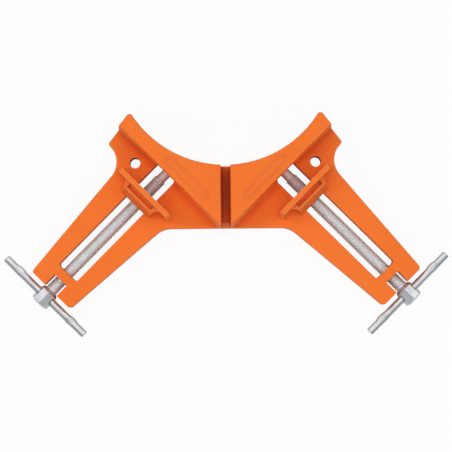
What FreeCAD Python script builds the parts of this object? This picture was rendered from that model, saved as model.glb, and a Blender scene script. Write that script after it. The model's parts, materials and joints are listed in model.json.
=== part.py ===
import FreeCAD, Part
import math
import os

V = FreeCAD.Vector
up = V(0, 0, 1)

# Body casting: plan sizes are taken from the inner corner where the two jaw faces would meet
base_height = 14.0
jaw_rise = 22.0
casting_wall = 3.2
deck_thickness = 3.4
rib_thickness = 2.0
draft_angle = 4.0
front_edge = 4.7
face_length = 89.2
screw_from_corner = 52.2
tab_reach = 10.4
tab_arc_radius = 13.6
tab_end_slant = 7.0
tab_corner_radius = 1.5
back_depth = 41.4
back_radius = 65.6
back_corner_radius = 2.0
front_arc_radius = 14.0
arm_reach = 97.0
arm_end_half_width = 16.0
arm_root_half_width = 21.7
arm_root_from_face = 27.0
arm_corner_radius = 2.2
arm_rib_count = 3
edge_radius = 0.6

# Slot, bridge and notch in each arm
slot_width = 15.0
slot_corner_radius = 2.0
slot_under_jaw = 3.3
bridge_length = 5.7
notch_depth = 8.5
bridge_metal = 4.0
notch_width = 9.9
window_height = 17.0
bearing_length = 3.4

# Groove on the centre line between the two fixed jaws
groove_width = 5.8
groove_depth = 17.5
groove_ramp = 2.8
groove_rib_width = 0.7
groove_rib_height = 0.5

# Oblong rim on top of each fixed jaw
rim_length = 34.5
rim_width = 5.0
rim_line = 0.7
rim_height = 0.35
rim_from_face = 6.1
rim_towards_corner = 12.1

# Bench bolt holes
bolt_hole_diameter = 6.3
bolt_boss_diameter = 12.5
bolt_from_face = 7.1
bolt_from_screw = 17.4

# Screw
screw_diameter = 8.0
screw_end_chamfer = 0.5
screw_height = 7.0
thread_start = 3.0
thread_chamfer = 1.0
journal_diameter = 6.0
spigot_diameter = 6.2
running_fit = 0.05
body_gap = 0.3
face_gap = 0.02

# Washer and retaining ring on the journal
washer_diameter = 11.0
washer_thickness = 0.8
ring_diameter = 10.4
ring_thickness = 0.8
ring_groove_depth = 0.5
ring_opening = 4.4
journal_end = 0.8

# Hub and sliding tommy bar
hub_across_flats = 10.9
hub_sides = 8
hub_length = 10.8
hub_neck_width = 8.4
hub_neck_length = 1.8
hub_crown_width = 7.4
hub_crown_length = 0.9
bar_from_hub_start = 4.9
bar_diameter = 4.7
bar_length = 66.0
bar_fit = 0.1
bar_chamfer = 0.5
stop_from_middle = 21.6
stop_radius = 6.5
stop_half_width = 2.95
stop_half_height = 1.7
stop_offset = 0.4

# Movable jaw
left_opening = 14.8
right_opening = 13.4
plate_length = 43.2
plate_thickness = 3.0
plate_foot_extra = 1.0
plate_corner_radius = 1.0
housing_depth = 10.5
housing_width = 22.5
housing_height = 15.0
housing_flare = 5.0
ridge_from_plate = 3.1
ridge_thickness = 1.2
pocket_depth = 3.0
lug_foot_height = 1.5
lug_setback = 0.6
lug_chamfer = 1.0

# Positions worked out from the sizes above
draft = math.tan(math.radians(draft_angle))
total_height = base_height + jaw_rise
bolt_from_corner = screw_from_corner + bolt_from_screw
corner_y = -(bolt_from_corner - bolt_from_face) / math.sqrt(2)
slot_reach = arm_reach - notch_depth - bridge_length
hub_start = arm_reach + body_gap
bar_position = hub_start + bar_from_hub_start
bearing_back = slot_under_jaw + bearing_length
washer_start = bearing_back + body_gap
ring_start = washer_start + washer_thickness + face_gap
journal_reach = ring_start + ring_thickness + journal_end
groove_floor = total_height - groove_depth


def plan(out, along):
    # A place given as distance out from the jaw face and along it from the corner, in plan
    return V((along + out) / math.sqrt(2), (along - out) / math.sqrt(2), 0)


def to_arm(shape, side):
    # Local x runs out along the screw and local y along the jaw face; side is +1 right, -1 left
    placed = shape.copy()
    placed.rotate(V(0, 0, 0), up, -45)
    if side < 0:
        placed = placed.mirror(V(0, 0, 0), V(1, 0, 0))
    return placed


def finish(shape):
    moved = shape.copy()
    moved.translate(V(0, corner_y, 0))
    return moved


def box(x0, x1, y0, y1, z0, z1):
    return Part.makeBox(x1 - x0, y1 - y0, z1 - z0, V(x0, y0, z0))


def rounded_face(corners):
    # Each corner is (point, radius); neighbours are joined by straight lines
    starts = []
    edges = []
    for index, (point, radius) in enumerate(corners):
        before = corners[index - 1][0] - point
        after = corners[(index + 1) % len(corners)][0] - point
        before.normalize()
        after.normalize()
        half = before.getAngle(after) / 2
        reach = radius / math.tan(half)
        inner = before + after
        inner.normalize()
        centre = point + inner * (radius / math.sin(half))
        middle = centre - inner * radius
        starts.append((point + before * reach, middle, point + after * reach, radius))
    for index, (first, middle, last, radius) in enumerate(starts):
        if radius > 0:
            edges.append(Part.Arc(first, middle, last).toShape())
        following = starts[(index + 1) % len(starts)][0]
        edges.append(Part.LineSegment(last, following).toShape())
    return Part.Face(Part.Wire(edges))


def inset(corners, distance):
    # Moves each side inwards; the corners run counter-clockwise
    moved = []
    for index, (point, radius) in enumerate(corners):
        before = corners[index - 1][0] - point
        after = corners[(index + 1) % len(corners)][0] - point
        before.normalize()
        after.normalize()
        half = before.getAngle(after) / 2
        inner = before + after
        inner.normalize()
        convex = after.cross(before).z > 0
        sign = 1 if convex else -1
        new_radius = max(radius - distance, 0) if convex else radius + distance
        moved.append((point + inner * (sign * distance / math.sin(half)), new_radius))
    return moved


def prism(corners, z0, z1):
    face = rounded_face(corners)
    face.translate(V(0, 0, z0))
    return face.extrude(V(0, 0, z1 - z0))


def arm_half_width(out):
    slope = (arm_root_half_width - arm_end_half_width) / (arm_reach - arm_root_from_face)
    return arm_end_half_width + (arm_reach - out) * slope


def casting_corners():
    low_end = plan(arm_reach, screw_from_corner - arm_half_width(arm_reach))
    low_root = plan(arm_root_from_face, screw_from_corner - arm_half_width(arm_root_from_face))
    slant = math.tan(math.radians(tab_end_slant))
    beyond = 2 * tab_reach
    share = (front_edge - low_root.y) / (low_end.y - low_root.y)
    front_turn = low_root + (low_end - low_root) * share
    right = [
        (front_turn, front_arc_radius),
        (low_end, arm_corner_radius),
        (plan(arm_reach, screw_from_corner + arm_half_width(arm_reach)), arm_corner_radius),
        (plan(tab_reach, screw_from_corner + arm_half_width(tab_reach)), tab_arc_radius),
        (plan(tab_reach, face_length), tab_corner_radius),
        (plan(-beyond, face_length + (tab_reach + beyond) * slant), 0),
    ]
    left = [(V(-point.x, point.y, 0), radius) for point, radius in reversed(right)]
    return right + left


def back_cylinder(extra):
    centre = V(0, back_depth + back_radius, -1)
    return Part.makeCylinder(back_radius + extra, total_height + 2, centre)


def outline_block(distance, z0, z1):
    block = prism(inset(casting_corners(), distance), z0, z1)
    return block.cut(back_cylinder(distance))


def drafted_cutter(distance, width):
    # Everything in front of a plane that leans back with height from the foot of the jaw face
    foot = -distance
    top = foot - (jaw_rise + 1) * draft
    below = foot + base_height * draft
    points = [V(below, -width, 0), V(width, -width, 0), V(width, -width, total_height + 1),
              V(top, -width, total_height + 1), V(below, -width, 0)]
    return Part.Face(Part.makePolygon(points)).extrude(V(0, 2 * width, 0))


def jaw_block(distance, z0, z1):
    block = outline_block(distance, z0, z1)
    cutter = drafted_cutter(distance, 3 * face_length)
    for side in (1, -1):
        block = block.cut(to_arm(cutter, side))
    front = drafted_cutter(distance, 3 * face_length)
    front.rotate(V(0, 0, 0), up, -90)
    front.translate(V(0, front_edge, 0))
    return block.cut(front)


def back_corner_edges(block, z0, z1):
    found = []
    for edge in block.Edges:
        size = edge.BoundBox
        upright = size.XLength < 0.01 and size.YLength < 0.01
        if upright and size.YMin > plan(0, face_length).y + 1 and size.ZLength > (z1 - z0) * 0.9:
            found.append(edge)
    return found


def rounded_back(block, z0, z1):
    return block.makeFillet(back_corner_radius, back_corner_edges(block, z0, z1))


def top_edges(block, height):
    found = []
    for edge in block.Edges:
        size = edge.BoundBox
        if size.ZLength < 0.001 and abs(size.ZMin - height) < 0.001:
            found.append(edge)
    return found


def solid_casting():
    base = rounded_back(outline_block(0, 0, base_height), 0, base_height)
    jaws = rounded_back(jaw_block(0, base_height, total_height), base_height, total_height)
    jaws = jaws.cut(groove_cutter())
    jaws = jaws.makeFillet(edge_radius, top_edges(jaws, total_height))
    return base.fuse(jaws).removeSplitter()


def groove_cutter():
    half = groove_width / 2
    back = back_depth + back_radius
    return box(-half, half, 0, back, groove_floor, total_height + 1)


def groove_ramp_cutter():
    half = groove_width / 2
    points = [V(-half, 0, base_height), V(-half, front_edge, base_height),
              V(-half, front_edge + groove_ramp, groove_floor), V(-half, front_edge + groove_ramp, total_height),
              V(-half, 0, total_height), V(-half, 0, base_height)]
    return Part.Face(Part.makePolygon(points)).extrude(V(groove_width, 0, 0))


def groove_ribs():
    ribs = []
    for step in (-1, 0, 1):
        x = step * groove_width / 4
        lift = groove_rib_height
        points = [V(x, front_edge, base_height - lift), V(x, front_edge, base_height + lift),
                  V(x, front_edge + groove_ramp, groove_floor + lift),
                  V(x, front_edge + groove_ramp, groove_floor - lift), V(x, front_edge, base_height - lift)]
        rib = Part.Face(Part.makePolygon(points)).extrude(V(groove_rib_width, 0, 0))
        rib.translate(V(-groove_rib_width / 2, 0, 0))
        ribs.append(rib)
    ridge_end = back_depth - groove_rib_height
    ridge = box(-groove_rib_width, groove_rib_width, front_edge + groove_ramp, ridge_end,
                groove_floor - groove_rib_height, groove_floor + groove_rib_height)
    return ribs + [ridge]


def centre_web():
    half = groove_width / 2 + casting_wall
    web = box(-half, half, 0, 2 * back_depth, 0, total_height)
    hollow = box(-groove_width / 2, groove_width / 2, front_edge + casting_wall, back_depth - casting_wall,
                 -1, groove_floor - casting_wall)
    return web, hollow


def slot_liner():
    half = slot_width / 2 + casting_wall
    return box(-bearing_back, arm_reach, screw_from_corner - half, screw_from_corner + half, 0, base_height)


def slot_cutter():
    half = slot_width / 2
    low = screw_from_corner - half
    high = screw_from_corner + half
    corners = [(V(-slot_under_jaw, low, 0), 0), (V(slot_reach, low, 0), slot_corner_radius),
               (V(slot_reach, high, 0), slot_corner_radius), (V(-slot_under_jaw, high, 0), 0)]
    slot = prism(corners, -1, base_height + 2)
    window = box(-slot_under_jaw, casting_wall, low, high, base_height - 1, base_height + window_height)
    return slot.fuse(window)


def notch_cutter():
    half = notch_width / 2
    return box(arm_reach - notch_depth, arm_reach + 1, screw_from_corner - half, screw_from_corner + half, -1, base_height + 4)


def along_screw(diameter, start, length):
    centre = V(start, screw_from_corner, screw_height)
    return Part.makeCylinder(diameter / 2, length, centre, V(1, 0, 0))


def bridge_saddle():
    diameter = screw_diameter + 2 * running_fit + 2 * bridge_metal
    saddle = along_screw(diameter, slot_reach, bridge_length)
    return saddle.common(box(0, arm_reach, 0, face_length, 0, total_height))


def arm_ribs():
    ribs = []
    spacing = (slot_reach - arm_root_from_face) / arm_rib_count
    for index in range(arm_rib_count):
        middle = arm_root_from_face + spacing * (index + 0.5)
        ribs.append(box(middle - rib_thickness / 2, middle + rib_thickness / 2, 0, face_length, 0, base_height))
    return ribs


def jaw_ribs():
    ribs = []
    for step in (-1, 1):
        middle = screw_from_corner + step * (slot_width / 2 + housing_width / 2)
        ribs.append(box(-face_length, 0, middle - rib_thickness / 2, middle + rib_thickness / 2,
                        0, total_height - deck_thickness))
    return ribs


def bolt_boss():
    return Part.makeCylinder(bolt_boss_diameter / 2, base_height, V(bolt_from_face, bolt_from_corner, 0))


def bolt_hole():
    return Part.makeCylinder(bolt_hole_diameter / 2, base_height + 2, V(bolt_from_face, bolt_from_corner, -1))


def rim():
    # Plain oblong rim standing on the top of the fixed jaw
    outer = rim_shape(rim_length, rim_width)
    inner = rim_shape(rim_length - 2 * rim_line, rim_width - 2 * rim_line)
    return outer.cut(inner)


def rim_shape(length, width):
    middle = screw_from_corner - rim_towards_corner
    back = -jaw_rise * draft - rim_from_face
    half = length / 2
    radius = width / 2 - 0.01
    corners = [(V(back - width / 2, middle - half, 0), radius), (V(back + width / 2, middle - half, 0), radius),
               (V(back + width / 2, middle + half, 0), radius), (V(back - width / 2, middle + half, 0), radius)]
    return prism(corners, total_height - rim_height, total_height + rim_height)


def body_casting():
    solid = solid_casting()
    shell = solid.cut(outline_block(casting_wall, -1, base_height - deck_thickness))
    shell = shell.cut(jaw_block(casting_wall, -1, total_height - deck_thickness))
    web, web_hollow = centre_web()
    inner = [web]
    for side in (1, -1):
        for piece in [slot_liner(), bolt_boss()] + arm_ribs() + jaw_ribs():
            inner.append(to_arm(piece, side))
    added = inner[0].multiFuse(inner[1:]).common(solid)
    shell = shell.fuse(added).cut(web_hollow).cut(groove_ramp_cutter())
    for side in (1, -1):
        shell = shell.fuse(to_arm(bridge_saddle(), side))
        shell = shell.fuse(to_arm(rim(), side))
        shell = shell.cut(to_arm(slot_cutter(), side))
        shell = shell.cut(to_arm(notch_cutter(), side))
        shell = shell.cut(to_arm(bolt_hole(), side))
        shell = shell.cut(to_arm(along_screw(journal_diameter + 2 * running_fit, -bearing_back - 1,
                                             bearing_length + 2), side))
        shell = shell.cut(to_arm(along_screw(screw_diameter + 2 * running_fit, slot_reach - 1,
                                             bridge_length + 2), side))
    shell = shell.multiFuse(groove_ribs())
    return shell.removeSplitter()


def plate_back_cutter():
    # The back of the jaw plate leans so that the plate is thicker at its foot
    foot = base_height + body_gap
    low = plate_thickness + plate_foot_extra
    points = [V(low, 0, foot), V(plate_thickness, 0, total_height), V(housing_depth, 0, total_height),
              V(housing_depth, 0, foot), V(low, 0, foot)]
    return Part.Face(Part.makePolygon(points)).extrude(V(0, 2 * face_length, 0))


def jaw_plate():
    foot = base_height + body_gap
    rise = total_height - foot
    half = plate_length / 2
    lean = rise * draft
    corners = [(V(-half, foot, 0), 0), (V(half, foot, 0), 0),
               (V(half - lean, total_height, 0), plate_corner_radius),
               (V(lean - half, total_height, 0), plate_corner_radius)]
    plate = rounded_face(corners).extrude(V(0, 0, plate_thickness + plate_foot_extra))
    plate.rotate(V(0, 0, 0), V(1, 1, 1), 120)
    plate.translate(V(0, screw_from_corner, 0))
    return plate.cut(plate_back_cutter())


def jaw_housing():
    foot = base_height + body_gap
    half = housing_width / 2
    wide = half + housing_flare
    start = plate_thickness
    bend = start + housing_flare
    turn = housing_flare * (1 - math.sqrt(0.5))
    mid = screw_from_corner
    low_arc = Part.Arc(V(start, mid - wide, foot), V(start + turn, mid - half - turn, foot), V(bend, mid - half, foot))
    high_arc = Part.Arc(V(bend, mid + half, foot), V(start + turn, mid + half + turn, foot), V(start, mid + wide, foot))
    edges = [low_arc.toShape(),
             Part.LineSegment(V(bend, mid - half, foot), V(housing_depth, mid - half, foot)).toShape(),
             Part.LineSegment(V(housing_depth, mid - half, foot), V(housing_depth, mid + half, foot)).toShape(),
             Part.LineSegment(V(housing_depth, mid + half, foot), V(bend, mid + half, foot)).toShape(),
             high_arc.toShape(),
             Part.LineSegment(V(start, mid + wide, foot), V(start, mid - wide, foot)).toShape()]
    housing = Part.Face(Part.Wire(edges)).extrude(V(0, 0, housing_height))
    return housing.cut(rear_slope()).cut(housing_pocket())


def rear_slope():
    foot = base_height + body_gap
    ridge = plate_thickness + ridge_from_plate + ridge_thickness
    points = [V(housing_depth, 0, foot), V(ridge, 0, foot + housing_height),
              V(housing_depth + 1, 0, foot + housing_height), V(housing_depth + 1, 0, foot), V(housing_depth, 0, foot)]
    return Part.Face(Part.makePolygon(points)).extrude(V(0, 2 * face_length, 0))


def housing_pocket():
    top = base_height + body_gap + housing_height
    half = housing_width / 2 - ridge_thickness
    end = plate_thickness + ridge_from_plate
    return box(plate_thickness, end, screw_from_corner - half, screw_from_corner + half, top - pocket_depth, top + 1)


def jaw_lug():
    half = slot_width / 2 - body_gap
    top = base_height + body_gap + plate_foot_extra
    corners = [(V(-half, lug_foot_height, 0), 0), (V(half, lug_foot_height, 0), 0),
               (V(half, top, 0), 0), (V(-half, top, 0), 0)]
    lug = rounded_face(corners).extrude(V(0, 0, housing_depth - 2 * lug_setback))
    lug.rotate(V(0, 0, 0), V(1, 1, 1), 120)
    lug.translate(V(lug_setback, screw_from_corner, 0))
    low_edges = [edge for edge in lug.Edges
                 if edge.BoundBox.ZLength < 0.01 and edge.BoundBox.YLength < 0.01
                 and edge.BoundBox.ZMax < base_height / 2]
    return lug.makeChamfer(lug_chamfer, low_edges)


def movable_jaw(side, opening):
    jaw = jaw_plate().fuse(jaw_housing()).fuse(jaw_lug())
    jaw = jaw.cut(along_screw(screw_diameter + 2 * running_fit, -1, housing_depth + 2))
    jaw.translate(V(opening, 0, 0))
    return to_arm(jaw.removeSplitter(), side)


def turned(profile):
    # Profile points are (distance out, radius) along the screw axis
    points = [V(out, radius, 0) for out, radius in profile]
    first = V(profile[0][0], 0, 0)
    last = V(profile[-1][0], 0, 0)
    outline = Part.makePolygon([first] + points + [last, first])
    solid = Part.Face(outline).revolve(V(0, 0, 0), V(1, 0, 0), 360)
    solid.translate(V(0, screw_from_corner, screw_height))
    return solid


def screw(side):
    major = screw_diameter / 2
    journal = journal_diameter / 2
    spigot = spigot_diameter / 2
    neck = journal - ring_groove_depth
    hub_end = hub_start + hub_length
    shape = turned([
        (-journal_reach, journal - screw_end_chamfer), (screw_end_chamfer - journal_reach, journal),
        (-ring_start - ring_thickness, journal), (-ring_start - ring_thickness, neck),
        (-ring_start, neck), (-ring_start, journal),
        (thread_start, journal), (thread_start + thread_chamfer, major),
        (hub_start, major), (hub_start, spigot),
        (hub_end - screw_end_chamfer, spigot), (hub_end, spigot - screw_end_chamfer),
    ])
    return to_arm(shape.cut(bar_bore()), side)


def bar_bore():
    width = 2 * hub_across_flats
    return Part.makeCylinder(bar_diameter / 2 + bar_fit, width, V(bar_position, screw_from_corner - width / 2,
                                                                  screw_height), V(0, 1, 0))


def hub_section(out, width):
    # One corner of the section points up
    radius = width / 2 / math.cos(math.pi / hub_sides)
    points = []
    for index in range(hub_sides + 1):
        angle = 2 * math.pi * index / hub_sides
        points.append(V(out, screw_from_corner + radius * math.sin(angle), screw_height + radius * math.cos(angle)))
    return Part.makePolygon(points)


def hub(side):
    # Eight flats, tapered towards the casting and crowned at the outer end
    end = hub_start + hub_length
    sections = [
        hub_section(hub_start, hub_neck_width), hub_section(hub_start + hub_neck_length, hub_across_flats),
        hub_section(end - hub_crown_length, hub_across_flats), hub_section(end, hub_crown_width),
    ]
    block = Part.makeLoft(sections, True, True)
    block = block.cut(along_screw(spigot_diameter + 2 * face_gap, hub_start - 1, hub_length + 2))
    return to_arm(block.cut(bar_bore()), side)


def bar_stop(middle):
    # Lens in plan, as the rod spreads where it is staked; it spreads more towards the casting
    reach = stop_radius - stop_half_width
    lens = []
    for sign in (1, -1):
        lens.append(Part.makeCylinder(stop_radius, 2 * stop_half_height, V(sign * reach, 0, -stop_half_height)))
    ear = lens[0].common(lens[1])
    ear.translate(V(bar_position - stop_offset, screw_from_corner + middle, screw_height))
    return ear


def tommy_bar(side):
    half = bar_length / 2
    radius = bar_diameter / 2
    profile = [(-half, radius - bar_chamfer), (bar_chamfer - half, radius),
               (half - bar_chamfer, radius), (half, radius - bar_chamfer)]
    points = [V(r, y, 0) for y, r in profile]
    outline = Part.makePolygon([V(0, -half, 0)] + points + [V(0, half, 0), V(0, -half, 0)])
    bar = Part.Face(outline).revolve(V(0, 0, 0), V(0, 1, 0), 360)
    bar.translate(V(bar_position, screw_from_corner, screw_height))
    for middle in (-stop_from_middle, stop_from_middle):
        bar = bar.fuse(bar_stop(middle))
    return to_arm(bar, side)


def thrust_washer(side):
    outer = along_screw(washer_diameter, -washer_start - washer_thickness, washer_thickness)
    bore = along_screw(journal_diameter + 2 * running_fit, -washer_start - 2 * washer_thickness, 3 * washer_thickness)
    return to_arm(outer.cut(bore), side)


def retaining_ring(side):
    # Open ring that snaps into the groove of the journal from above
    neck = journal_diameter - 2 * ring_groove_depth + 2 * face_gap
    outer = along_screw(ring_diameter, -ring_start - ring_thickness + face_gap, ring_thickness - 2 * face_gap)
    bore = along_screw(neck, -ring_start - 2 * ring_thickness, 3 * ring_thickness)
    half = ring_opening / 2
    mouth = box(-ring_start - 2 * ring_thickness, 0, screw_from_corner - half, screw_from_corner + half,
                screw_height, screw_height + ring_diameter)
    return to_arm(outer.cut(bore).cut(mouth), side)


def write(name, shape):
    solid = finish(shape)
    if not solid.isValid():
        print("invalid shape:", name)
    print(name, "solids", len(solid.Solids), "volume", round(solid.Volume, 1))
    solid.exportStep("parts/" + name + ".step")


os.makedirs("parts", exist_ok=True)
write("body_casting", body_casting())
for side_name, side, opening in (("left", -1, left_opening), ("right", 1, right_opening)):
    write(side_name + "_jaw", movable_jaw(side, opening))
    write(side_name + "_screw", screw(side))
    write(side_name + "_hub", hub(side))
    write(side_name + "_tommy_bar", tommy_bar(side))
    write(side_name + "_thrust_washer", thrust_washer(side))
    write(side_name + "_retaining_ring", retaining_ring(side))
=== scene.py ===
import json
import math

import bpy
from mathutils import Matrix, Vector


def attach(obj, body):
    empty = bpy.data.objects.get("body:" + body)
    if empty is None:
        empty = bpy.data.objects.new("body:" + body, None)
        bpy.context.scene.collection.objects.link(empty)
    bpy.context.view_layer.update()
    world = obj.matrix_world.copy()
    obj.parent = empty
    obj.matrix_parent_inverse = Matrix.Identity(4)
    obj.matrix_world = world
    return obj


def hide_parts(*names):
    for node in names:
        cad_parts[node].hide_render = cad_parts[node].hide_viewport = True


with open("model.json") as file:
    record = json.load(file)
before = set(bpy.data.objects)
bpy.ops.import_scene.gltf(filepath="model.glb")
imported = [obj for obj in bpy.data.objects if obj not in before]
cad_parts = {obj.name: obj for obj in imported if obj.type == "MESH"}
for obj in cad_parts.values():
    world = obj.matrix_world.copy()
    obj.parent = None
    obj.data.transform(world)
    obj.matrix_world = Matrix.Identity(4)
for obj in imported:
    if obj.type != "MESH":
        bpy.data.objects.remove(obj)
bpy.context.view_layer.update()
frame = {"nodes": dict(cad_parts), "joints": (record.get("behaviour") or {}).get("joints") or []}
sides = ("left", "right")
mm = 0.001
mergeDistance = 0.001 * mm


# Small helpers for modelling

def startFresh():
    if bpy.context.mode != "OBJECT":
        bpy.ops.object.mode_set(mode="OBJECT")
    bpy.ops.object.select_all(action="DESELECT")


def makeActive(piece):
    startFresh()
    piece.select_set(True)
    bpy.context.view_layer.objects.active = piece


def drawProfile(name, points):
    # A chain of edges in the XZ plane: one vertex, then extruded from point to point
    startFresh()
    bpy.ops.mesh.primitive_plane_add(size=mm, location=(0, 0, 0))
    profile = bpy.context.object
    profile.name = name
    bpy.ops.object.mode_set(mode="EDIT")
    bpy.ops.mesh.select_all(action="SELECT")
    bpy.ops.mesh.merge(type="CENTER")
    bpy.ops.transform.translate(value=(points[0][0], 0, points[0][1]))
    for before, after in zip(points, points[1:]):
        step = (after[0] - before[0], 0, after[1] - before[1])
        bpy.ops.mesh.extrude_region_move(TRANSFORM_OT_translate={"value": step})
    bpy.ops.object.mode_set(mode="OBJECT")
    return profile


def mendNormals(piece):
    makeActive(piece)
    bpy.ops.object.mode_set(mode="EDIT")
    bpy.ops.mesh.select_all(action="SELECT")
    bpy.ops.mesh.remove_doubles(threshold=mergeDistance)
    bpy.ops.mesh.normals_make_consistent(inside=False)
    bpy.ops.object.mode_set(mode="OBJECT")


def turnOnLathe(name, points, steps=48):
    # Points are (radius, height); both ends lie on the axis, so the poles close
    piece = drawProfile(name, points)
    makeActive(piece)
    bpy.ops.object.mode_set(mode="EDIT")
    bpy.ops.mesh.select_all(action="SELECT")
    bpy.ops.mesh.spin(steps=steps, angle=2 * math.pi, center=(0, 0, 0), axis=(0, 0, 1))
    bpy.ops.object.mode_set(mode="OBJECT")
    mendNormals(piece)
    return piece


def cutThrough(piece, radius, length, steps, direction):
    # A round bore across the piece, through its origin
    startFresh()
    turn = Vector((0, 0, 1)).rotation_difference(Vector(direction)).to_euler()
    bpy.ops.mesh.primitive_cylinder_add(vertices=steps, radius=radius, depth=length,
                                        location=(0, 0, 0), rotation=turn)
    cutter = bpy.context.object
    makeActive(piece)
    bpy.ops.object.modifier_add(type="BOOLEAN")
    bore = piece.modifiers[-1]
    bore.operation = "DIFFERENCE"
    bore.object = cutter
    bpy.ops.object.modifier_apply(modifier=bore.name)
    bpy.data.objects.remove(cutter)


def seatOnArm(piece, origin, zAxis, xAxis):
    # Local Z goes along zAxis and local X along xAxis, and the place ends up in the mesh
    z = Vector(zAxis).normalized()
    x = Vector(xAxis).normalized()
    y = z.cross(x)
    turn = Matrix((x, y, z)).transposed().to_4x4()
    piece.matrix_world = Matrix.Translation(Vector(origin)) @ turn
    makeActive(piece)
    bpy.ops.object.transform_apply(location=True, rotation=True, scale=True)


def smoothEdges(piece, angle):
    makeActive(piece)
    bpy.ops.object.shade_smooth_by_angle(angle=math.radians(angle))


def dress(piece, material):
    piece.data.materials.clear()
    piece.data.materials.append(material)


# Effects shared by the finishes

def newGroup(name, inputs, outputs):
    group = bpy.data.node_groups.new(name, "ShaderNodeTree")
    for label, kind, value in inputs:
        socket = group.interface.new_socket(name=label, in_out="INPUT", socket_type=kind)
        socket.default_value = value
    for label, kind in outputs:
        group.interface.new_socket(name=label, in_out="OUTPUT", socket_type=kind)
    enter = group.nodes.new("NodeGroupInput")
    leave = group.nodes.new("NodeGroupOutput")
    return group, enter, leave


def addNode(tree, kind, **settings):
    node = tree.nodes.new(kind)
    for name, value in settings.items():
        setattr(node, name, value)
    return node


def makeMottle():
    # Soft uneven patches, from 0 to 1
    group, enter, leave = newGroup(
        "coatMottle",
        [("Scale", "NodeSocketFloat", 60.0), ("Detail", "NodeSocketFloat", 3.0)],
        [("Mask", "NodeSocketFloat")])
    place = addNode(group, "ShaderNodeTexCoord")
    noise = addNode(group, "ShaderNodeTexNoise")
    spread = addNode(group, "ShaderNodeMapRange")
    spread.inputs["From Min"].default_value = 0.3
    spread.inputs["From Max"].default_value = 0.7
    group.links.new(place.outputs["Object"], noise.inputs["Vector"])
    group.links.new(enter.outputs["Scale"], noise.inputs["Scale"])
    group.links.new(enter.outputs["Detail"], noise.inputs["Detail"])
    group.links.new(noise.outputs["Fac"], spread.inputs["Value"])
    group.links.new(spread.outputs["Result"], leave.inputs["Mask"])
    return group


def makeCrevice():
    # Near 1 deep in corners and thread roots, 0 on open faces; the finishes paint shade there with it
    group, enter, leave = newGroup(
        "creviceShade",
        [("Distance", "NodeSocketFloat", 0.004), ("Strength", "NodeSocketFloat", 1.0)],
        [("Mask", "NodeSocketFloat")])
    hollow = addNode(group, "ShaderNodeAmbientOcclusion", samples=8, only_local=True)
    invert = addNode(group, "ShaderNodeMath", operation="SUBTRACT")
    invert.inputs[0].default_value = 1.0
    scale = addNode(group, "ShaderNodeMath", operation="MULTIPLY", use_clamp=True)
    group.links.new(enter.outputs["Distance"], hollow.inputs["Distance"])
    group.links.new(hollow.outputs["AO"], invert.inputs[1])
    group.links.new(invert.outputs[0], scale.inputs[0])
    group.links.new(enter.outputs["Strength"], scale.inputs[1])
    group.links.new(scale.outputs[0], leave.inputs["Mask"])
    return group


def makeEdgeRoundingAndHighlight():
    # 1 along rounded-over edges, where a painted highlight goes; the Normal output rounds the edges' shading
    group, enter, leave = newGroup(
        "edgeRoundingAndHighlight",
        [("Radius", "NodeSocketFloat", 0.0005), ("Contrast", "NodeSocketFloat", 6.0)],
        [("Mask", "NodeSocketFloat"), ("Normal", "NodeSocketVector")])
    rounded = addNode(group, "ShaderNodeBevel", samples=6)
    plain = addNode(group, "ShaderNodeNewGeometry")
    compare = addNode(group, "ShaderNodeVectorMath", operation="DOT_PRODUCT")
    invert = addNode(group, "ShaderNodeMath", operation="SUBTRACT")
    invert.inputs[0].default_value = 1.0
    scale = addNode(group, "ShaderNodeMath", operation="MULTIPLY", use_clamp=True)
    group.links.new(enter.outputs["Radius"], rounded.inputs["Radius"])
    group.links.new(rounded.outputs["Normal"], compare.inputs[0])
    group.links.new(plain.outputs["Normal"], compare.inputs[1])
    group.links.new(compare.outputs["Value"], invert.inputs[1])
    group.links.new(invert.outputs[0], scale.inputs[0])
    group.links.new(enter.outputs["Contrast"], scale.inputs[1])
    group.links.new(scale.outputs[0], leave.inputs["Mask"])
    group.links.new(rounded.outputs["Normal"], leave.inputs["Normal"])
    return group


def makeDrawLines():
    # Fine lines along a drawn rod that lies turned by the angle in plan
    group, enter, leave = newGroup(
        "drawLines",
        [("Angle", "NodeSocketFloat", 0.0), ("Scale", "NodeSocketFloat", 850.0),
         ("Stretch", "NodeSocketFloat", 0.02)],
        [("Mask", "NodeSocketFloat")])
    place = addNode(group, "ShaderNodeTexCoord")
    turn = addNode(group, "ShaderNodeVectorRotate", rotation_type="Z_AXIS")
    squeeze = addNode(group, "ShaderNodeCombineXYZ")
    squeeze.inputs["Y"].default_value = 1.0
    squeeze.inputs["Z"].default_value = 1.0
    along = addNode(group, "ShaderNodeVectorMath", operation="MULTIPLY")
    noise = addNode(group, "ShaderNodeTexNoise")
    noise.inputs["Detail"].default_value = 2.0
    spread = addNode(group, "ShaderNodeMapRange")
    spread.inputs["From Min"].default_value = 0.32
    spread.inputs["From Max"].default_value = 0.68
    group.links.new(place.outputs["Object"], turn.inputs["Vector"])
    group.links.new(enter.outputs["Angle"], turn.inputs["Angle"])
    group.links.new(enter.outputs["Stretch"], squeeze.inputs["X"])
    group.links.new(turn.outputs["Vector"], along.inputs[0])
    group.links.new(squeeze.outputs["Vector"], along.inputs[1])
    group.links.new(along.outputs["Vector"], noise.inputs["Vector"])
    group.links.new(enter.outputs["Scale"], noise.inputs["Scale"])
    group.links.new(noise.outputs["Fac"], spread.inputs["Value"])
    group.links.new(spread.outputs["Result"], leave.inputs["Mask"])
    return group


mottleGroup = makeMottle()
drawGroup = makeDrawLines()
creviceGroup = makeCrevice()
edgeGroup = makeEdgeRoundingAndHighlight()
print("stage: shared effects are ready")


def placeGroup(tree, group, **values):
    node = addNode(tree, "ShaderNodeGroup", node_tree=group)
    for label, value in values.items():
        node.inputs[label].default_value = value
    return node


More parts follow.
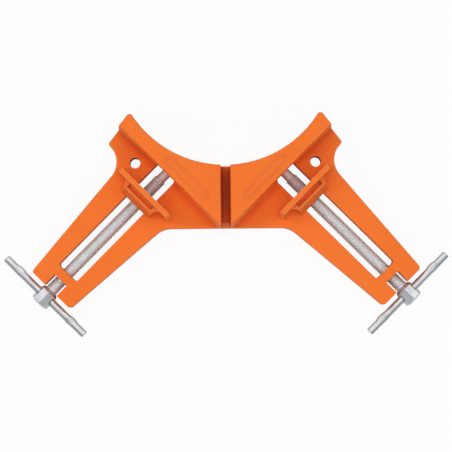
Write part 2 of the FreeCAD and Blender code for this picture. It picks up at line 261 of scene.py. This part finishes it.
def blendColour(tree, mask, first, second, amount):
    # Goes from first to second as the mask rises, by at most the amount
    share = addNode(tree, "ShaderNodeMath", operation="MULTIPLY", use_clamp=True)
    share.inputs[1].default_value = amount
    mix = addNode(tree, "ShaderNodeMix", data_type="RGBA")
    tree.links.new(mask, share.inputs[0])
    tree.links.new(share.outputs[0], mix.inputs["Factor"])
    for source, socket in ((first, mix.inputs["A"]), (second, mix.inputs["B"])):
        if isinstance(source, tuple):
            socket.default_value = source
        else:
            tree.links.new(source, socket)
    return mix.outputs["Result"]


def newFinish(name):
    material = bpy.data.materials.new(name)
    material.use_nodes = True
    return material, material.node_tree, material.node_tree.nodes["Principled BSDF"]


def addBump(tree, shader, texture, edges, depth, strength):
    # The texture's relief on top of the rounded edges
    bump = addNode(tree, "ShaderNodeBump")
    bump.inputs["Distance"].default_value = depth
    bump.inputs["Strength"].default_value = strength
    tree.links.new(texture.outputs["Mask"], bump.inputs["Height"])
    tree.links.new(edges.outputs["Normal"], bump.inputs["Normal"])
    tree.links.new(bump.outputs["Normal"], shader.inputs["Normal"])


def roughnessRange(tree, mask, low, high, target):
    spread = addNode(tree, "ShaderNodeMapRange")
    spread.inputs["To Min"].default_value = low
    spread.inputs["To Max"].default_value = high
    tree.links.new(mask, spread.inputs["Value"])
    tree.links.new(spread.outputs["Result"], target)


powderCoat = {
    "colour": (0.885, 0.180, 0.029, 1.0),
    "faded": (0.910, 0.196, 0.035, 1.0),
    # The next colours are painted: shade in corners, shade deep in grooves and a highlight along rounded
    # edges
    "shaded": (0.800, 0.070, 0.011, 1.0),
    "deep": (0.440, 0.019, 0.013, 1.0),
    "edgeHighlight": (1.0, 0.440, 0.190, 1.0),
    "roughness": (0.52, 0.62),
    "ior": 1.15,
    "patchScale": 38.0,
    "patchDetail": 4.0,
    "peelScale": 1300.0,
    "peelDetail": 2.0,
    "peelDepth": 0.000015,
    "peelStrength": 0.5,
    "edgeRadius": 0.0008,
    "edgeContrast": 5.0,
    "cornerStrength": 1.2,
    "depthStrength": 1.12,
    "depthPower": 3.0,
    "depthAmount": 0.95,
    "edgeHighlightAmount": {"casting": 0.40, "jaw": 1.0},
    "cornerReach": {"casting": 0.005, "jaw": 0.0016},
    "depthReach": {"casting": 0.012, "jaw": 0.0022},
}


def makePowderCoat(name, piece):
    # Orange coat: painted shade makes it redder in corners and dark red deep in grooves, and a painted
    # highlight makes it lighter along rounded edges
    coat = powderCoat
    material, tree, shader = newFinish(name)
    patches = placeGroup(tree, mottleGroup, Scale=coat["patchScale"], Detail=coat["patchDetail"])
    corners = placeGroup(tree, creviceGroup, Distance=coat["cornerReach"][piece],
                         Strength=coat["cornerStrength"])
    depths = placeGroup(tree, creviceGroup, Distance=coat["depthReach"][piece],
                        Strength=coat["depthStrength"])
    edges = placeGroup(tree, edgeGroup, Radius=coat["edgeRadius"], Contrast=coat["edgeContrast"])
    deepest = addNode(tree, "ShaderNodeMath", operation="POWER")
    deepest.inputs[1].default_value = coat["depthPower"]
    tree.links.new(depths.outputs["Mask"], deepest.inputs[0])
    colour = blendColour(tree, patches.outputs["Mask"], coat["colour"], coat["faded"], 1.0)
    # Painted shade: redder in corners
    colour = blendColour(tree, corners.outputs["Mask"], colour, coat["shaded"], 1.0)
    # Painted shade: dark red deep in grooves
    colour = blendColour(tree, deepest.outputs[0], colour, coat["deep"], coat["depthAmount"])
    # Painted highlight along rounded edges
    colour = blendColour(tree, edges.outputs["Mask"], colour, coat["edgeHighlight"], coat["edgeHighlightAmount"][piece])
    tree.links.new(colour, shader.inputs["Base Color"])
    roughnessRange(tree, patches.outputs["Mask"], *coat["roughness"], shader.inputs["Roughness"])
    peel = placeGroup(tree, mottleGroup, Scale=coat["peelScale"], Detail=coat["peelDetail"])
    addBump(tree, shader, peel, edges, coat["peelDepth"], coat["peelStrength"])
    shader.inputs["IOR"].default_value = coat["ior"]
    return material


steel = {
    "cloudScale": 210.0,
    "cloudDetail": 5.0,
    "cloudAmount": 0.6,
    "rootStrength": 1.5,
    "edgeRadius": 0.0002,
    "edgeContrast": 4.0,
    "grainScale": 2600.0,
    "grainDetail": 2.0,
    "grainDepth": 0.000004,
    "grainStrength": 0.4,
    "rimBlend": 0.35,
}
zincBright = (0.86, 0.885, 0.895, 1)
zincDull = (0.48, 0.505, 0.525, 1)
# Painted dark tone: shade in thread roots and a dark reflection towards the rim
zincPaintedShadeTone = (0.13, 0.14, 0.15, 1)
platedZinc = {
    "bright": zincBright, "dull": zincDull, "paintedShadeTone": zincPaintedShadeTone, "roughness": (0.18, 0.26),
    "rootDistance": 0.002, "rootAmount": 0.5, "rimAmount": 0.6, "metallic": 0.8,
}
drawnZinc = {
    "bright": zincBright, "dull": zincDull, "paintedShadeTone": zincPaintedShadeTone, "roughness": (0.14, 0.22),
    "rootDistance": 0.002, "rootAmount": 0.5, "rimAmount": 0.7, "metallic": 0.65,
}
rolledZinc = {
    "bright": (0.92, 0.95, 0.96, 1), "dull": (0.83, 0.86, 0.87, 1), "paintedShadeTone": zincPaintedShadeTone,
    "roughness": (0.50, 0.58), "rootDistance": 0.0009, "rootAmount": 0.10, "rimAmount": 0.55, "metallic": 0.4,
}
springSteel = {
    "bright": (0.20, 0.20, 0.22, 1), "dull": (0.13, 0.13, 0.14, 1), "paintedShadeTone": (0.03, 0.03, 0.03, 1),
    "roughness": (0.28, 0.40), "rootDistance": 0.002, "rootAmount": 0.6, "rimAmount": 0.0, "metallic": 1.0,
}


def makeSteel(name, finish, drawAngle=None):
    # Plated or oiled steel: cloudy, with painted shade in the roots and a painted dark reflection towards the
    # rim, and with lines along a drawn rod
    material, tree, shader = newFinish(name)
    cloud = placeGroup(tree, mottleGroup, Scale=steel["cloudScale"], Detail=steel["cloudDetail"])
    roots = placeGroup(tree, creviceGroup, Distance=finish["rootDistance"], Strength=steel["rootStrength"])
    edges = placeGroup(tree, edgeGroup, Radius=steel["edgeRadius"], Contrast=steel["edgeContrast"])
    colour = blendColour(tree, cloud.outputs["Mask"], finish["bright"], finish["dull"],
                         steel["cloudAmount"])
    # Painted shade in the thread roots
    colour = blendColour(tree, roots.outputs["Mask"], colour, finish["paintedShadeTone"], finish["rootAmount"])
    roughnessRange(tree, cloud.outputs["Mask"], *finish["roughness"], shader.inputs["Roughness"])
    if drawAngle is None:
        grain = placeGroup(tree, mottleGroup, Scale=steel["grainScale"], Detail=steel["grainDetail"])
    else:
        grain = placeGroup(tree, drawGroup, Angle=math.radians(drawAngle))
        colour = blendColour(tree, grain.outputs["Mask"], colour, finish["dull"], 1.0)
    # Painted dark reflection towards the rim
    rim = addNode(tree, "ShaderNodeLayerWeight")
    rim.inputs["Blend"].default_value = steel["rimBlend"]
    colour = blendColour(tree, rim.outputs["Facing"], colour, finish["paintedShadeTone"], finish["rimAmount"])
    tree.links.new(colour, shader.inputs["Base Color"])
    addBump(tree, shader, grain, edges, steel["grainDepth"], steel["grainStrength"])
    shader.inputs["Metallic"].default_value = finish["metallic"]
    return material


castingCoat = makePowderCoat("powderCoatCasting", "casting")
jawCoat = makePowderCoat("powderCoatJaw", "jaw")
brightZinc = makeSteel("brightZincPlate", platedZinc)
barZinc = {
    "left": makeSteel("drawnZincLeft", drawnZinc, drawAngle=45),
    "right": makeSteel("drawnZincRight", drawnZinc, drawAngle=-45),
}
threadZinc = makeSteel("zincOnThread", rolledZinc)
darkSpring = makeSteel("oiledSpringSteel", springSteel)
print("stage: finishes are ready")


# Where each screw lies, read from the frame

def screwLine(side):
    joint = [j for j in frame["joints"] if j["name"] == side + "_screw_turn"][0]
    slide = [j for j in frame["joints"] if j["name"] == side + "_bar_slide"][0]
    origin = Vector(joint["pos_m"])
    out = Vector(joint["axis"]).normalized()
    along = Vector(slide["axis"]).normalized()
    reach = [(vertex.co - origin).dot(out) for vertex in frame["nodes"][side + "_screw"].data.vertices]
    return origin, out, along, min(reach), max(reach)


# Screw: a rolled M8 thread between a plain journal and a spigot that holds the hub

screwSizes = {
    "pitch": 1.25 * mm,
    "crestRadius": 3.99 * mm,
    "rootRadius": 3.31 * mm,
    "rootFlat": 0.31 * mm,
    "crestFlat": 0.16 * mm,
    "flank": 0.39 * mm,
    "journalRadius": 3.0 * mm,
    "journalLength": 12.4 * mm,
    "ringFloor": 2.5 * mm,
    "ringFromEnd": 0.8 * mm,
    "ringWidth": 0.8 * mm,
    "runOut": 1.0 * mm,
    "spigotRadius": 3.1 * mm,
    "spigotLength": 10.8 * mm,
    "endChamfer": 0.5 * mm,
    "boreRadius": 2.45 * mm,
    "boreLength": 30 * mm,
    "boreSteps": 40,
    "stepsPerTurn": 28,
    "leadIn": 1.5,
    "spareTurns": 2,
    "smoothAngle": 24,
}


def rollThread(name, start, end):
    # One pitch of the profile, wound by a Screw modifier and cut square at both ends
    s = screwSizes
    points = [(s["rootRadius"], 0), (s["rootRadius"], s["rootFlat"]),
              (s["crestRadius"], s["rootFlat"] + s["flank"]),
              (s["crestRadius"], s["rootFlat"] + s["flank"] + s["crestFlat"]),
              (s["rootRadius"], s["pitch"])]
    thread = drawProfile(name, points)
    makeActive(thread)
    bpy.ops.object.modifier_add(type="SCREW")
    winding = thread.modifiers[-1]
    winding.axis = "Z"
    winding.angle = -2 * math.pi
    winding.screw_offset = s["pitch"]
    winding.iterations = math.ceil((end - start) / s["pitch"]) + s["spareTurns"]
    winding.steps = s["stepsPerTurn"]
    winding.render_steps = s["stepsPerTurn"]
    winding.use_merge_vertices = True
    bpy.ops.object.modifier_apply(modifier=winding.name)
    thread.location.z = start - s["leadIn"] * s["pitch"]
    bpy.ops.object.transform_apply(location=True, rotation=True, scale=True)
    mendNormals(thread)
    bpy.ops.object.mode_set(mode="EDIT")
    for height, above in ((start, False), (end, True)):
        bpy.ops.mesh.select_all(action="SELECT")
        bpy.ops.mesh.bisect(plane_co=(0, 0, height), plane_no=(0, 0, 1), use_fill=True,
                            clear_inner=not above, clear_outer=above)
    bpy.ops.object.mode_set(mode="OBJECT")
    mendNormals(thread)
    return thread


def makeScrew(side):
    s = screwSizes
    origin, out, along, start, end = screwLine(side)
    threadStart = start + s["journalLength"] + s["runOut"] / 2
    hubStart = end - s["spigotLength"]
    thread = rollThread(side + "_screw_threaded", threadStart, hubStart)
    chamfer = s["endChamfer"]
    ring = start + s["ringFromEnd"]
    journal = turnOnLathe(side + "_screw_journal", [
        (0, start), (s["journalRadius"] - chamfer, start), (s["journalRadius"], start + chamfer),
        (s["journalRadius"], ring), (s["ringFloor"], ring), (s["ringFloor"], ring + s["ringWidth"]),
        (s["journalRadius"], ring + s["ringWidth"]), (s["journalRadius"], threadStart - s["runOut"] / 2),
        (s["rootRadius"], threadStart + s["runOut"] / 4), (0, threadStart + s["runOut"] / 4)])
    spigot = turnOnLathe(side + "_screw_spigot", [
        (0, hubStart - chamfer), (s["spigotRadius"], hubStart - chamfer), (s["spigotRadius"], end - chamfer),
        (s["spigotRadius"] - chamfer, end), (0, end)])
    cutThrough(spigot, s["boreRadius"], s["boreLength"], s["boreSteps"], (0, 1, 0))
    startFresh()
    for part in (journal, spigot, thread):
        part.select_set(True)
    bpy.context.view_layer.objects.active = thread
    bpy.ops.object.join()
    # Local Y ends up along the tommy bar, as the bore needs
    seatOnArm(thread, origin, out, out.cross(along) * -1)
    smoothEdges(thread, s["smoothAngle"])
    dress(thread, threadZinc)
    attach(thread, side + "_screw_body")
    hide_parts(side + "_screw")


# Tommy bar: a drawn rod, chamfered at both ends and staked at two places so that it can't slip out

barSizes = {
    "radius": 2.35 * mm,
    "halfLength": 33.0 * mm,
    "endChamfer": 0.5 * mm,
    "stakePlace": 21.6 * mm,
    "stakeLoops": (-3.6, -2.9, -2.0, -0.9, 0.9, 2.0, 2.9, 3.6),
    "stakeDepth": (0.0, 0.35, 0.75, 1.0, 1.0, 0.75, 0.35, 0.0),
    "stakeSpread": 0.13,
    "stakeSquash": 0.25,
    "stakeCentre": 1.5 * mm,
    "loopTolerance": 0.01 * mm,
    "latheSteps": 56,
    "smoothAngle": 30,
}


def makeTommyBar(side):
    s = barSizes
    origin, out, along = screwLine(side)[:3]
    bar = turnOnLathe(side + "_tommy_bar_staked", [
        (0, -s["halfLength"]), (s["radius"] - s["endChamfer"], -s["halfLength"]),
        (s["radius"], -s["halfLength"] + s["endChamfer"]), (s["radius"], s["halfLength"] - s["endChamfer"]),
        (s["radius"] - s["endChamfer"], s["halfLength"]), (0, s["halfLength"])], s["latheSteps"])
    makeActive(bar)
    bpy.ops.object.mode_set(mode="EDIT")
    for half in (-1, 1):
        for offset in s["stakeLoops"]:
            bpy.ops.mesh.select_all(action="SELECT")
            height = half * s["stakePlace"] + offset * mm
            bpy.ops.mesh.bisect(plane_co=(0, 0, height), plane_no=(0, 0, 1))
    bpy.ops.object.mode_set(mode="OBJECT")
    for half in (-1, 1):
        for offset, depth in zip(s["stakeLoops"], s["stakeDepth"]):
            height = half * s["stakePlace"] + offset * mm
            bpy.ops.object.mode_set(mode="EDIT")
            bpy.ops.mesh.select_all(action="DESELECT")
            bpy.ops.object.mode_set(mode="OBJECT")
            for vertex in bar.data.vertices:
                vertex.select = abs(vertex.co.z - height) < s["loopTolerance"]
            bpy.ops.object.mode_set(mode="EDIT")
            bpy.ops.transform.resize(value=(1 + depth * s["stakeSpread"], 1 - depth * s["stakeSquash"], 1),
                                     center_override=(s["stakeCentre"], 0, height))
    bpy.ops.object.mode_set(mode="OBJECT")
    seatOnArm(bar, origin, along, out)
    smoothEdges(bar, s["smoothAngle"])
    dress(bar, barZinc[side])
    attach(bar, side + "_bar_body")
    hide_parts(side + "_tommy_bar")


for side in sides:
    makeScrew(side)
    makeTommyBar(side)
    print("stage: screw and bar on the", side)

finishOf = {"body_casting": castingCoat}
for side in sides:
    finishOf[side + "_jaw"] = jawCoat
    finishOf[side + "_hub"] = brightZinc
    finishOf[side + "_thrust_washer"] = brightZinc
    finishOf[side + "_retaining_ring"] = darkSpring
for node, material in finishOf.items():
    dress(frame["nodes"][node], material)
print("stage: cast and turned parts have their finish")


# Floor, light and camera

room = {
    "floorSize": 2.4,
    "floorGap": 0.2 * mm,
    "floorColour": (0.90, 0.90, 0.90, 1.0),
    "floorRoughness": 0.8,
    "floorGlow": 0.92,
    "floorGlowInMetal": 0.22,
    "worldLight": 0.35,
    "skyShine": 1.20,
    "skyTilt": 24,
    "skyBands": ((0.20, 0.12), (0.30, 0.62), (0.44, 0.08), (0.60, 0.85), (0.72, 0.42), (0.84, 1.0)),
}


def makeFloor():
    startFresh()
    bpy.ops.mesh.primitive_plane_add(size=room["floorSize"], location=(0, 0, -room["floorGap"]))
    floor = bpy.context.object
    floor.name = "floor"
    material, tree, shader = newFinish("paleFloor")
    shader.inputs["Base Color"].default_value = room["floorColour"]
    shader.inputs["Roughness"].default_value = room["floorRoughness"]
    shader.inputs["Specular IOR Level"].default_value = 0.0
    glow = addNode(tree, "ShaderNodeEmission")
    seen = addNode(tree, "ShaderNodeLightPath")
    mirrored = addNode(tree, "ShaderNodeMath", operation="MULTIPLY")
    mirrored.inputs[1].default_value = room["floorGlowInMetal"]
    share = addNode(tree, "ShaderNodeMath", operation="MULTIPLY_ADD")
    share.inputs[1].default_value = room["floorGlow"]
    mix = addNode(tree, "ShaderNodeMixShader")
    tree.links.new(seen.outputs["Is Glossy Ray"], mirrored.inputs[0])
    tree.links.new(seen.outputs["Is Camera Ray"], share.inputs[0])
    tree.links.new(mirrored.outputs[0], share.inputs[2])
    tree.links.new(share.outputs[0], mix.inputs[0])
    tree.links.new(shader.outputs[0], mix.inputs[1])
    tree.links.new(glow.outputs[0], mix.inputs[2])
    tree.links.new(mix.outputs[0], tree.nodes["Material Output"].inputs["Surface"])
    floor.data.materials.append(material)


def makeWorld():
    world = bpy.data.worlds.new("studio")
    bpy.context.scene.world = world
    world.use_nodes = True
    tree = world.node_tree
    light = tree.nodes["Background"]
    place = addNode(tree, "ShaderNodeTexCoord")
    overhead = addNode(tree, "ShaderNodeVectorMath", operation="DOT_PRODUCT")
    tilt = math.radians(room["skyTilt"])
    # The sky's bands lie around a line that leans towards the back
    overhead.inputs[1].default_value = (0, math.sin(tilt), math.cos(tilt))
    ramp = addNode(tree, "ShaderNodeValToRGB")
    ramp.color_ramp.interpolation = "EASE"
    ramp.color_ramp.elements.remove(ramp.color_ramp.elements[1])
    ramp.color_ramp.elements[0].position = 0.0
    ramp.color_ramp.elements[0].color = (room["skyBands"][0][1],) * 3 + (1.0,)
    for height, level in room["skyBands"]:
        ramp.color_ramp.elements.new(height).color = (level, level, level, 1.0)
    tree.links.new(place.outputs["Generated"], overhead.inputs[0])
    tree.links.new(overhead.outputs["Value"], ramp.inputs["Fac"])
    tree.links.new(ramp.outputs["Color"], light.inputs["Color"])
    white = addNode(tree, "ShaderNodeBackground")
    seen = addNode(tree, "ShaderNodeLightPath")
    shine = addNode(tree, "ShaderNodeMath", operation="MULTIPLY_ADD")
    shine.inputs[1].default_value = room["skyShine"] - room["worldLight"]
    shine.inputs[2].default_value = room["worldLight"]
    mix = addNode(tree, "ShaderNodeMixShader")
    tree.links.new(seen.outputs["Is Glossy Ray"], shine.inputs[0])
    tree.links.new(shine.outputs[0], light.inputs["Strength"])
    tree.links.new(seen.outputs["Is Camera Ray"], mix.inputs[0])
    tree.links.new(light.outputs[0], mix.inputs[1])
    tree.links.new(white.outputs[0], mix.inputs[2])
    tree.links.new(mix.outputs[0], tree.nodes["World Output"].inputs["Surface"])


lamps = {
    "softboxTop": {"place": (0.0, 0.0, 1.8), "size": (0.7, 0.7), "power": 5.4},
    "softboxFront": {"place": (0.0, -1.0, 0.75), "size": (1.2, 0.5), "power": 4.6},
    "softboxLeft": {"place": (-0.75, 0.15, 1.05), "size": (0.5, 1.1), "power": 5.3},
    "softboxRight": {"place": (0.75, 0.15, 1.05), "size": (0.5, 1.1), "power": 3.9},
    "softboxBack": {"place": (0.0, 0.85, 1.1), "size": (1.0, 0.4), "power": 1.4},
}
lampTarget = Vector((0, -0.02, 0))


def makeLamp(name, lampData):
    startFresh()
    bpy.ops.object.light_add(type="AREA", location=lampData["place"])
    lamp = bpy.context.object
    lamp.name = name
    lamp.data.shape = "RECTANGLE"
    lamp.data.size, lamp.data.size_y = lampData["size"]
    lamp.data.energy = lampData["power"]
    # Metal mirrors only the bands of the sky
    lamp.visible_glossy = False
    lamp.rotation_euler = (lampTarget - Vector(lampData["place"])).to_track_quat("-Z", "Y").to_euler()


cameraView = {
    "place": (0.0, -0.0984, 1.586),
    "lean": 2.187,
    "roll": -0.55,
    "sensor": 36.0,
    "focal": 2620 / 452 * 36.0,
    "clipEnd": 20.0,
}


def makeCamera():
    startFresh()
    bpy.ops.object.camera_add(location=cameraView["place"])
    camera = bpy.context.object
    turn = Matrix.Rotation(math.radians(cameraView["lean"]), 3, "X")
    turn = turn @ Matrix.Rotation(math.radians(cameraView["roll"]), 3, "Z")
    camera.rotation_euler = turn.to_euler()
    camera.data.sensor_width = cameraView["sensor"]
    camera.data.lens = cameraView["focal"]
    camera.data.clip_end = cameraView["clipEnd"]
    bpy.context.scene.camera = camera


makeFloor()
makeWorld()
for lampName, lampData in lamps.items():
    makeLamp(lampName, lampData)
makeCamera()
bpy.context.scene.view_settings.view_transform = "Standard"
print("stage: floor, light and camera are set")
